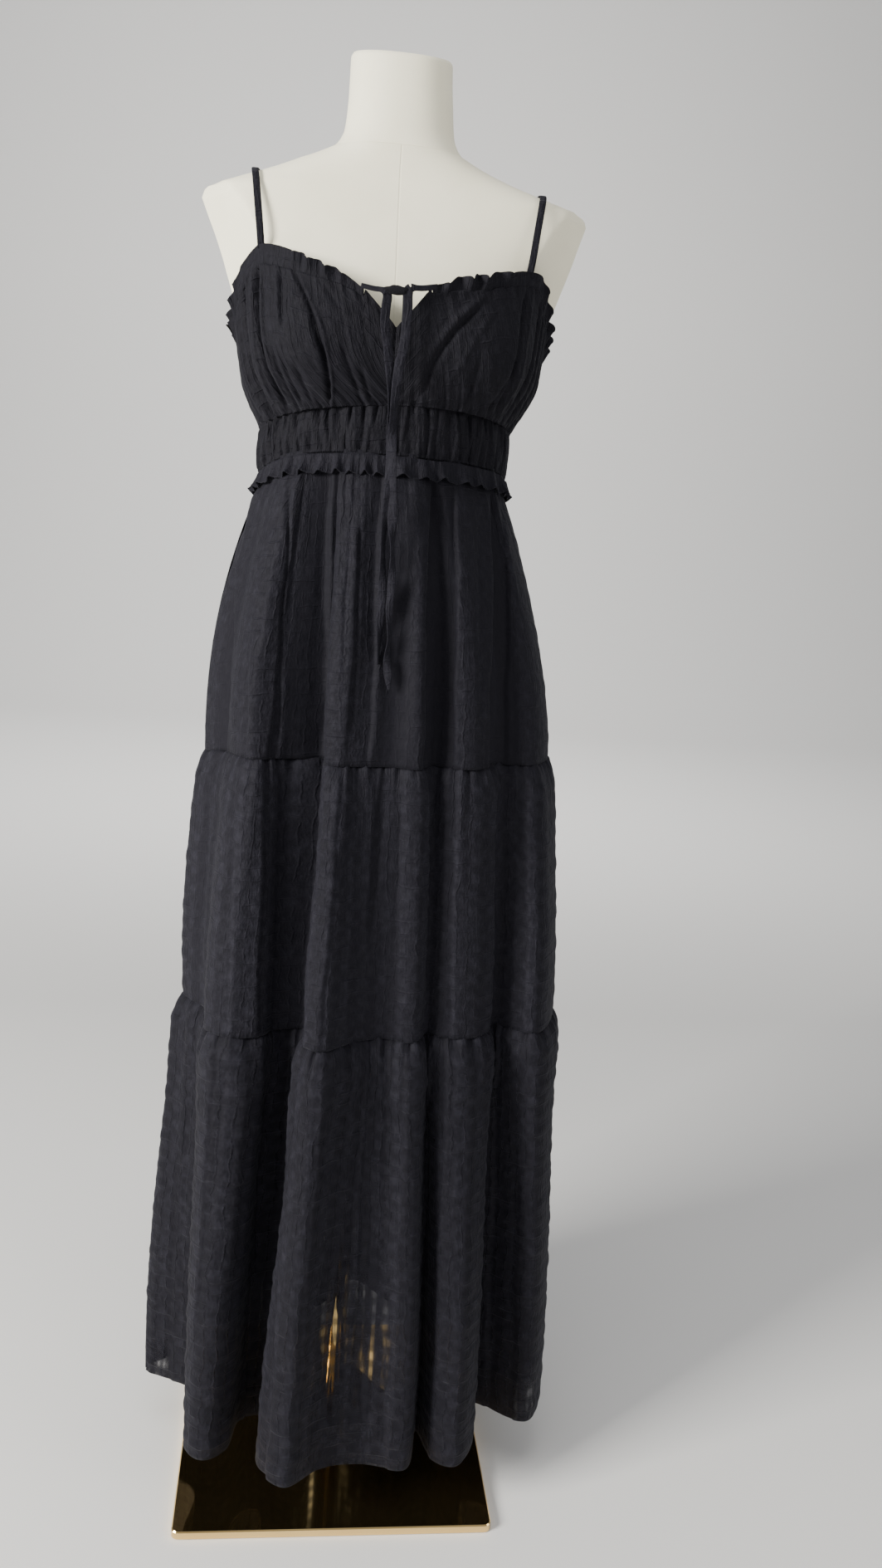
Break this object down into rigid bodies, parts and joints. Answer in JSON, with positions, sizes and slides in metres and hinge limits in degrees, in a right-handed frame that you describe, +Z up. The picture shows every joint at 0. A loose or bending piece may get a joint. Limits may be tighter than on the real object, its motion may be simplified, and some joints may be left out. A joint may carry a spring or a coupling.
{
  "type": "tiered maxi dress on a dress form",
  "caption": "Sleeveless tiered maxi dress with gathered cups, tie neckline, ruffled waist and thin straps, worn by a limbless dress form on a pole and a square plate.",
  "frame": {"origin": "centre of the stand plate's underside, on the pole's axis", "axes": "+Z up along the pole, the dress's front faces -Y, +X is to the right as seen from the front"},
  "size_m": [0.4756, 0.3674, 1.5329],
  "materials": {
    "dress_cloth": "black crinkled semi-sheer shadow check",
    "form_cover": "off-white stretch cover",
    "stand_brass": "mirror polish"
  },
  "bodies": {
    "root": {"bodice_back": "dress_cloth", "bodice_front_left": "dress_cloth", "bodice_front_right": "dress_cloth", "form_neck": "form_cover", "form_torso": "form_cover", "neck_ruffle_back": "dress_cloth", "neck_ruffle_left": "dress_cloth", "neck_ruffle_right": "dress_cloth", "neck_tie_left": "dress_cloth", "neck_tie_right": "dress_cloth", "stand_plate": "stand_brass", "stand_pole": "stand_brass", "strap_left": "dress_cloth", "strap_right": "dress_cloth", "tie_end_left": "dress_cloth", "tie_end_right": "dress_cloth", "tie_knot": "dress_cloth", "tier_1_back": "dress_cloth", "tier_1_front": "dress_cloth", "tier_2_back": "dress_cloth", "tier_2_front": "dress_cloth", "tier_3_back": "dress_cloth", "tier_3_front": "dress_cloth", "waist_ruffle_back": "dress_cloth", "waist_ruffle_front": "dress_cloth", "waistband_back": "dress_cloth", "waistband_front": "dress_cloth"}
  },
  "joints": []
}
